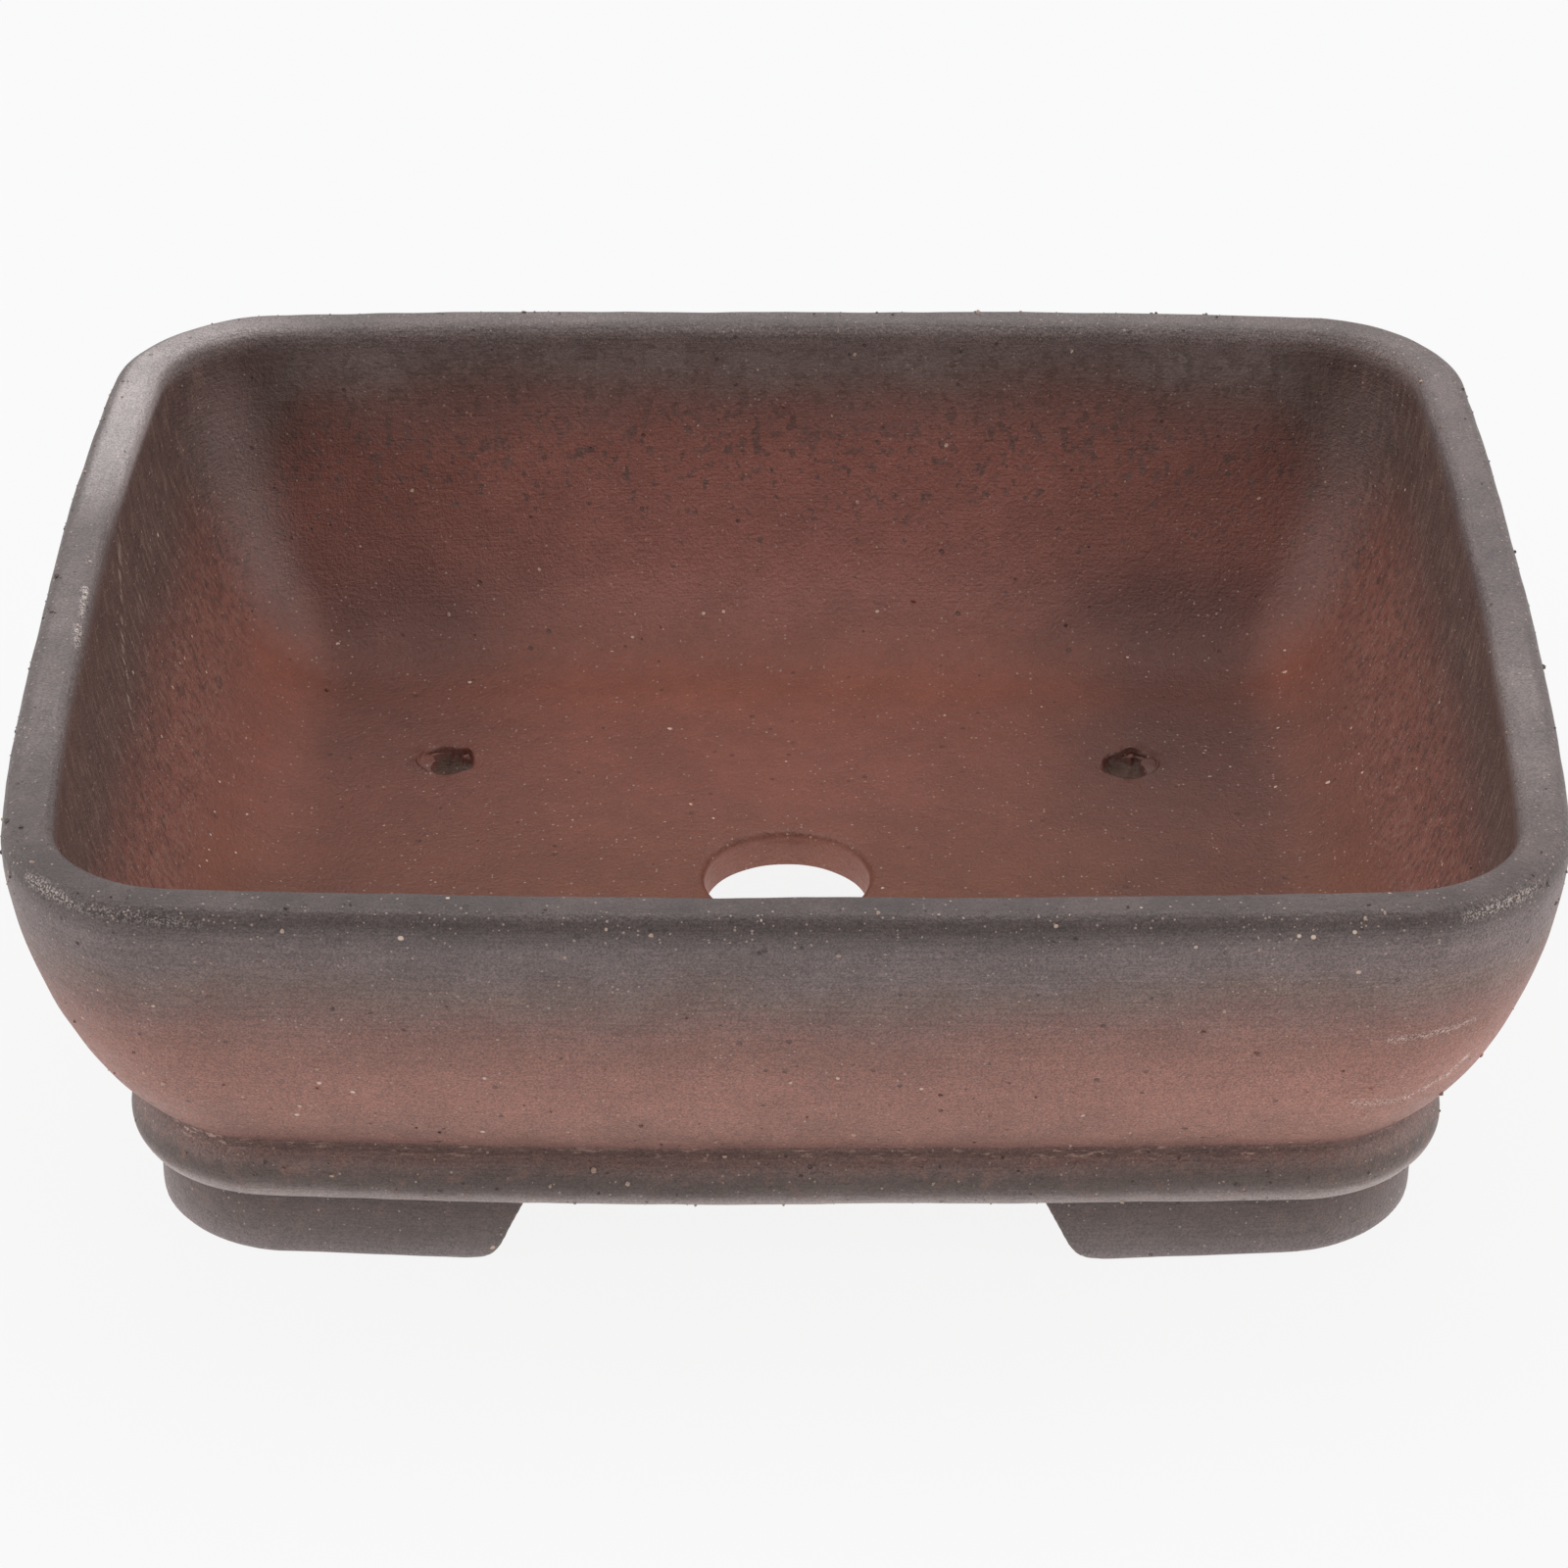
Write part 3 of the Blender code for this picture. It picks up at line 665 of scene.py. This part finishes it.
def painted_corner_sheen(count):
    """Round one turn of the pot, how much each point belongs to the painted highlight in a rear inner corner."""
    share = np.zeros(count)
    angle = np.linspace(0, 90, CORNER_POINTS + 1)
    corner_highlight = np.exp(-(((angle - 60) / 22) ** 2))
    share[: CORNER_POINTS + 1] = corner_highlight * 0.42
    second = CORNER_POINTS + 1 + LONG_POINTS
    share[second : second + CORNER_POINTS + 1] = corner_highlight[::-1]
    return share


def wall_grit_chance(centres, quads):
    """Grains show most along the lip's outer edge and low on the outer face, and hardly at all inside."""
    row = quads[:, 0] // per_loop
    chance = np.where(row < 42, 1.0 + 1.5 * (centres[:, 2] < 30 * MM), 0.25)
    chance = np.where((row >= 42) & (row < 53), 5.0, chance)
    return np.where(row > len(section) - 12, 0.0, chance)


wall_clay = stoneware("wall_clay_look")
dark_clay = stoneware("foot_clay_look", smoked=True)

section, values, cove_end = wall_section()
verts, faces = ring(section)
per_loop = len(verts) // len(section)
attributes = {key: np.repeat(numbers, per_loop) for key, numbers in values.items()}
heights = verts[:, 2]
# Painted highlight down the rear inner corners, fading out near the lip and near the floor.
wipe_marks_and_sheen = np.tile(painted_corner_sheen(per_loop), len(section))
attributes["sheen"] = wipe_marks_and_sheen * attributes["inside"] * np.clip((54 * MM - heights) / (7 * MM), 0, 1)
attributes["sheen"] *= np.clip((heights - 14 * MM) / (12 * MM), 0, 1)
verts, faces, attributes = gritty(press(verts), faces, attributes, 1300, wall_grit_chance, 11)
wall = make_piece("pot_wall", verts, faces, "wall", wall_clay, attributes)

# ---------------------------------------------------------------- floor


def hole_rings(x, y, radius, rounding, throat, burr):
    """Rings from the floor's surface down through it.

    throat gives each angle's share of the radius, and burr how far the rim stands up there."""
    steps = 96
    angles = np.linspace(0, 2 * math.pi, steps, endpoint=False)
    rings = []
    lift = burr(angles)
    share = throat(angles)
    # Where the hole's wall was pushed in, the clay stays level with the floor.
    sink = np.clip(1 - 1.9 * (1 - share), 0.1, 1)
    edge = radius * (1 + 0.02 * np.sin(5 * angles + x * 900) * (lift.any()))
    for part in np.linspace(0, 1, 8):
        swing = part * math.pi / 2
        out = rounding * (1 - math.sin(swing))
        down = rounding * (1 - math.cos(swing))
        z = FLOOR_HIGH.z - down * sink + lift * math.sin(math.pi * min(1.0, part * 1.4)) ** 2
        rings.append(np.column_stack([x + (edge + out) * np.cos(angles), y + (edge + out) * np.sin(angles), z]))
    # A flap hangs just below the rim: level on top, then rounded over and cut away beneath.
    for part, drop, hold in ((0, 0.25, 1), (0.5, 0.3, 1), (0.9, 0.4, 1), (1, 0.75, 0.7), (0.97, 1.2, 0), (0, 2.2, 0)):
        reach = edge * (1 + (share - 1) * part)
        z = FLOOR_HIGH.z - (rounding + drop * MM) * (1 - hold + hold * sink)
        rings.append(np.column_stack([x + reach * np.cos(angles), y + reach * np.sin(angles), z]))
    z = np.full(steps, FLOOR_LOW.z)
    rings.append(np.column_stack([x + edge * np.cos(angles), y + edge * np.sin(angles), z]))
    return rings


def plain_throat(angles):
    return 1 + 0.006 * np.sin(3 * angles + 0.4) + 0.004 * np.sin(7 * angles)


def no_burr(angles):
    return 0 * angles


def bump_at(angles, place, width):
    """A smooth hump round one direction, as a share of 1."""
    gap = (angles - place + math.pi) % (2 * math.pi) - math.pi
    return np.exp(-((gap / width) ** 2))


def ragged(flap_at, curl_at):
    """A punched hole with a flap of clay left on one side and a small curl on another."""

    def throat(angles):
        flap = bump_at(angles, flap_at, 0.75)
        curl = bump_at(angles, curl_at, 0.20)
        return 1 - 0.62 * flap - 0.30 * curl + 0.03 * np.sin(9 * angles) + 0.02 * np.sin(17 * angles)

    def burr(angles):
        raised = 0.35 * bump_at(angles, flap_at, 0.9) + 0.45 * bump_at(angles, curl_at, 0.35)
        return (raised + 0.08 * np.sin(5 * angles)) * MM

    return throat, burr


def fill(loops, z, spacing):
    """A triangulated flat face bounded by the first loop, with the others as holes, as points and triangles."""
    points, edges = [], []
    for loop in loops:
        first = len(points)
        points += [Vector((p[0], p[1])) for p in loop]
        edges += [(first + k, first + (k + 1) % len(loop)) for k in range(len(loop))]
    outer = np.array([p[:2] for p in loops[0]])
    span_x, span_y = outer[:, 0].max(), outer[:, 1].max()
    for gx in np.arange(-span_x, span_x, spacing):
        for gy in np.arange(-span_y, span_y, spacing):
            spot = np.array([gx, gy])
            gap = [np.linalg.norm(np.asarray(loop)[:, :2] - spot, axis=1).min() for loop in loops]
            if min(gap) < spacing * 0.45 or not inside_loop(spot, outer):
                continue
            if any(inside_loop(spot, np.asarray(loop)[:, :2]) for loop in loops[1:]):
                continue
            points.append(Vector((gx, gy)))
    made, _, tris, _, _, _ = delaunay_2d_cdt(points, edges, [], 0, 1e-7)
    corners = np.array([[p.x, p.y] for p in made])
    kept = []
    for tri in tris:
        middle = corners[list(tri)].mean(axis=0)
        if not inside_loop(middle, outer):
            continue
        if any(inside_loop(middle, np.asarray(loop)[:, :2]) for loop in loops[1:]):
            continue
        kept.append(tuple(tri))
    return np.column_stack([corners, np.full(len(corners), z)]), kept


def inside_loop(spot, loop):
    """Whether a point is inside a closed loop of (x, y)."""
    x0, y0 = loop[:, 0], loop[:, 1]
    x1, y1 = np.roll(x0, -1), np.roll(y0, -1)
    crosses = (y0 > spot[1]) != (y1 > spot[1])
    with np.errstate(divide="ignore", invalid="ignore"):
        at = x0 + (spot[1] - y0) * (x1 - x0) / (y1 - y0)
    return bool(np.count_nonzero(crosses & (spot[0] < at)) % 2)


def build_floor():
    holes = [hole_rings(0.0, 0.0, DRAIN_RADIUS, 1.0 * MM, plain_throat, no_burr)]
    for sx, sy, flap_at, curl_at in ((-1, 1, math.pi, 0.7), (1, 1, 0.1, 1.5), (-1, -1, 2.6, 5.6), (1, -1, 5.2, 2.4)):
        holes.append(hole_rings(sx * WIRE_X, sy * WIRE_Y, WIRE_RADIUS, 0.6 * MM, *ragged(flap_at, curl_at)))
    edge = outline(cove_end, FLOOR_HIGH.z)
    bm = bmesh.new()

    def add(verts, faces):
        made = [bm.verts.new(v) for v in verts]
        for f in faces:
            bm.faces.new([made[i] for i in f])

    add(*fill([edge] + [h[0] for h in holes], FLOOR_HIGH.z, 2.0 * MM))
    low_edge = outline(15.5 * MM, FLOOR_LOW.z)
    add(*fill([low_edge] + [h[-1] for h in holes], FLOOR_LOW.z, 3.0 * MM))
    rows = [np.column_stack([edge, np.full(len(edge), FLOOR_HIGH.z)])]
    rows.append(np.column_stack([edge, np.full(len(edge), FLOOR_HIGH.z - 0.3 * MM)]))
    rows.append(np.column_stack([low_edge, np.full(len(edge), FLOOR_HIGH.z - 0.3 * MM)]))
    rows.append(np.column_stack([low_edge, np.full(len(edge), FLOOR_LOW.z)]))
    for set_of_rings in [rows] + holes:
        count = len(set_of_rings[0])
        here = np.arange(count)
        onward = (here + 1) % count
        quads = []
        for k in range(len(set_of_rings) - 1):
            a, b = k * count, (k + 1) * count
            quads += [(a + i, a + j, b + j, b + i) for i, j in zip(here, onward)]
        add(np.concatenate(set_of_rings), quads)
    bmesh.ops.remove_doubles(bm, verts=bm.verts[:], dist=1e-6)
    bm.verts.index_update()
    verts = [tuple(v.co) for v in bm.verts]
    faces = [tuple(v.index for v in f.verts) for f in bm.faces]
    bm.free()
    return verts, faces


verts, faces = build_floor()
floor = make_piece(
    "pot_floor", press(verts), faces, "floor_slab", wall_clay, {"inside": np.ones(len(verts))}
)

# ---------------------------------------------------------------- band and feet


def band_section():
    """A half-round moulding, softened into the wall above it."""
    low, high = BAND_LOW.z, BAND_HIGH.z
    middle, half = (low + high) / 2, (high - low) / 2
    points = [(15.4 * MM, high + 1.3 * MM), (13.2 * MM, high + 1.3 * MM)]
    points += [(13.0 * MM, high + 0.75 * MM), (12.8 * MM, high + 0.2 * MM)]
    for step in range(5, 25):
        angle = math.pi * (0.5 - step / 24)
        points.append((BAND_ROOT - BAND_BULGE * math.cos(angle), middle + half * math.sin(angle)))
    points.append((15.4 * MM, low))
    return points


section = band_section()
verts, faces = ring(section, tuck=0.2 * MM)
per_loop = len(verts) // len(section)
seam = np.repeat([0.0, 0.25, 0.75, 1.0] + [0.0] * (len(section) - 4), per_loop)


def band_grit_chance(centres, quads):
    row = quads[:, 0] // per_loop
    return np.where((row > 2) & (row < len(section) - 2), 1.0, 0.0)


verts, faces, attributes = gritty(press(verts), faces, {"seam": seam}, 420, band_grit_chance, 12)
band = make_piece("pot_foot_band", verts, faces, "foot_band", dark_clay, attributes)


def build_foot(name, sx, sy):
    """A corner foot: the strip under the floor's edge, cut by sloping ends."""
    low, high = FOOT_LOW.z - 0.1 * MM, FLOOR_LOW.z + 1.2 * MM
    inner = FOOT_INSET + FOOT_THICKNESS
    section = arc((inner - 1.0 * MM, low + 1.0 * MM), 1.0 * MM, 0, -90, 4)
    section += arc((FOOT_INSET + FOOT_EDGE, low + FOOT_EDGE), FOOT_EDGE, 270, 180, 8)
    section += [(FOOT_INSET, z) for z in np.linspace(low + FOOT_EDGE, high, 6)[1:]]
    section.append((inner, high))
    lowered = float(lean(0.0))
    softening = FOOT_CORNER - (RIM_CORNER - CORNER_TIGHTENING * lowered - (FOOT_INSET - lowered))
    verts, faces = ring(section, FOOT_SIDE_TUCK, softening)
    mesh = bpy.data.meshes.new(name)
    mesh.from_pydata([tuple(v) for v in verts], [], [tuple(int(i) for i in f) for f in faces])
    obj = bpy.data.objects.new(name, mesh)
    bpy.context.scene.collection.objects.link(obj)
    gap_front = abs(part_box("foot_front_right")[0].x)
    gap_side = abs(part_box("foot_front_right")[1].y)
    bm = bmesh.new()
    bm.from_mesh(mesh)
    top = FOOT_HIGH.z
    for gap, axis in ((gap_front, 0), (gap_side, 1)):
        sign = sx if axis == 0 else sy
        steep = math.atan2(FOOT_END_SLANT, top - FOOT_END_ROUND)
        centre = gap + FOOT_END_SLANT + FOOT_END_ROUND
        for swing in (steep, 0.45, 0.7, 0.95, 1.2, 1.4):
            # Each plane leans a little more, so that the end turns smoothly into the underside.
            across = [0.0, 0.0, FOOT_END_ROUND * (1 - math.sin(swing))]
            across[axis] = sign * (centre - FOOT_END_ROUND * math.cos(swing))
            normal = [0.0, 0.0, math.sin(swing)]
            normal[axis] = sign * math.cos(swing)
            geometry = bm.verts[:] + bm.edges[:] + bm.faces[:]
            bmesh.ops.bisect_plane(bm, geom=geometry, plane_co=across, plane_no=normal, clear_inner=True)
            bmesh.ops.holes_fill(bm, edges=[e for e in bm.edges if e.is_boundary], sides=0)
        other = [0.0, 0.0, 0.0]
        other[axis] = float(sign)
        geometry = bm.verts[:] + bm.edges[:] + bm.faces[:]
        bmesh.ops.bisect_plane(bm, geom=geometry, plane_co=(0, 0, 0), plane_no=other, clear_inner=True)
    edges = [e for e in bm.edges if e.is_boundary]
    bmesh.ops.holes_fill(bm, edges=edges, sides=0)
    bmesh.ops.recalc_face_normals(bm, faces=bm.faces[:])
    bm.to_mesh(mesh)
    bm.free()
    worn = obj.modifiers.new("clay", "REMESH")
    worn.mode = "VOXEL"
    worn.voxel_size = 0.5 * MM
    soft = obj.modifiers.new("worn", "SMOOTH")
    soft.factor = 0.5
    soft.iterations = 6
    bpy.context.view_layer.update()
    graph = bpy.context.evaluated_depsgraph_get()
    final = bpy.data.meshes.new_from_object(obj.evaluated_get(graph))
    obj.modifiers.clear()
    obj.data = final
    for v, spot in zip(final.vertices, press([v.co.copy() for v in final.vertices])):
        v.co = spot
        if sx > 0 > sy:
            # This foot was cut a little short towards its corner.
            reach = min(1.0, max(0.0, (v.co.x - 38 * MM) / (34 * MM)))
            v.co.z += 0.6 * MM * reach * max(0.0, 1 - v.co.z / FLOOR_LOW.z)
    final.shade_smooth()
    final.materials.clear()
    final.materials.append(dark_clay)
    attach(obj, "root")
    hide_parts(name.replace("pot_", ""))


for end, sy in (("front", -1), ("back", 1)):
    for side, sx in (("left", -1), ("right", 1)):
        build_foot(f"pot_foot_{end}_{side}", sx, sy)

# ---------------------------------------------------------------- floor, lights and camera


def add_light(name, place, aim, size_x, size_y, power):
    light = bpy.data.lights.new(name, "AREA")
    light.shape = "RECTANGLE"
    light.size = size_x
    light.size_y = size_y
    light.energy = power
    obj = bpy.data.objects.new(name, light)
    obj.location = place
    obj.rotation_euler = (Vector(aim) - Vector(place)).to_track_quat("-Z", "Y").to_euler()
    bpy.context.scene.collection.objects.link(obj)


bpy.ops.mesh.primitive_plane_add(size=30.0, location=(0, 0, 0))
ground = bpy.context.active_object
ground.name = "studio_floor"
paper = Tree("studio_paper")
paper.put(paper.shader.inputs["Base Color"], (0.06, 0.06, 0.06, 1))
paper.put(paper.shader.inputs["Roughness"], 0.9)
paper.put(paper.shader.inputs["Specular IOR Level"], 0.0)
paper.put(paper.shader.inputs["Emission Color"], (1, 1, 1, 1))
paper.put(paper.shader.inputs["Emission Strength"], 0.885)
ground.data.materials.append(paper.material)

# A bright backdrop behind the pot, and a dark room behind the camera.
world = bpy.data.worlds.new("studio")
bpy.context.scene.world = world
world.use_nodes = True
sky = world.node_tree
facing = sky.nodes.new("ShaderNodeSeparateXYZ")
sky.links.new(sky.nodes.new("ShaderNodeTexCoord").outputs["Generated"], facing.inputs[0])
glow = sky.nodes.new("ShaderNodeMapRange")
glow.interpolation_type = "SMOOTHSTEP"
for key, value in {"From Min": -0.9, "From Max": 0.95, "To Min": 0.38, "To Max": 0.95}.items():
    glow.inputs[key].default_value = value
sky.links.new(facing.outputs["Y"], glow.inputs["Value"])
sky.links.new(glow.outputs["Result"], sky.nodes["Background"].inputs["Strength"])
sky.nodes["Background"].inputs["Color"].default_value = (0.96, 0.98, 1.0, 1)

add_light("left_softbox", (-0.95, -0.05, 0.42), (0, 0, 0.03), 0.9, 0.6, 3.5)
add_light("right_softbox", (0.95, -0.05, 0.42), (0, 0, 0.03), 0.9, 0.6, 3.5)
add_light("top_softbox", (0.0, 0.35, 1.0), (0, 0, 0.02), 1.0, 0.7, 4.0)

camera_data = bpy.data.cameras.new("camera")
camera_data.lens = 118.6
camera_data.sensor_width = 36.0
camera_data.shift_x = -0.0019
camera_data.clip_start = 0.01
camera = bpy.data.objects.new("camera", camera_data)
ELEVATION = 0.5354
DISTANCE = 0.6434
AZIMUTH = 0.005
AIM = Vector((0.0, 0.0, 0.0268))
level = math.cos(ELEVATION)
back = Vector((math.sin(AZIMUTH) * level, -math.cos(AZIMUTH) * level, math.sin(ELEVATION)))
camera.location = AIM + DISTANCE * back
camera.rotation_euler = (math.pi / 2 - ELEVATION, 0, AZIMUTH)
bpy.context.scene.collection.objects.link(camera)
bpy.context.scene.camera = camera
bpy.context.scene.view_settings.view_transform = "Standard"
